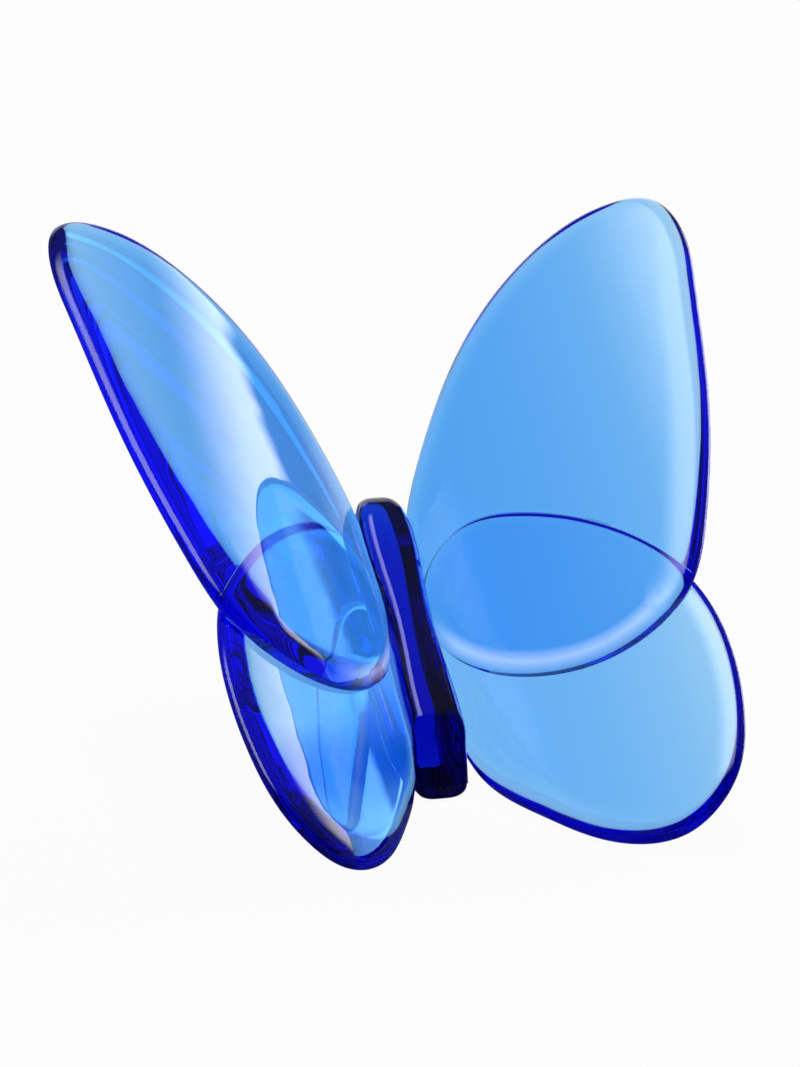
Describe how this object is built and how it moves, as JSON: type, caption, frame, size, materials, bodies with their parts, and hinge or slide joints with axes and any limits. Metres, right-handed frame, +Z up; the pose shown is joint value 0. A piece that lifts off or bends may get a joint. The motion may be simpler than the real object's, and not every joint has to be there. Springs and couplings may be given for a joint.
{
  "type": "butterfly ornament",
  "caption": "Solid blue crystal butterfly with raised, flared wings that lap forewing over hindwing, standing on its flat belly and hindwing edges.",
  "frame": {"origin": "on the floor that the ornament stands on, under the middle of its overall box", "axes": "+Z up, +Y from the viewer towards the head and wing tips at the back, +X to the viewer's right across the wing spread, which is the longest extent"},
  "size_m": [0.073, 0.0626, 0.0596],
  "materials": {
    "crystal": "polished cobalt-blue crystal, clear right through"
  },
  "bodies": {
    "root": {"body": "crystal", "left_forewing": "crystal", "right_forewing": "crystal", "left_hindwing": "crystal", "right_hindwing": "crystal"}
  },
  "joints": []
}
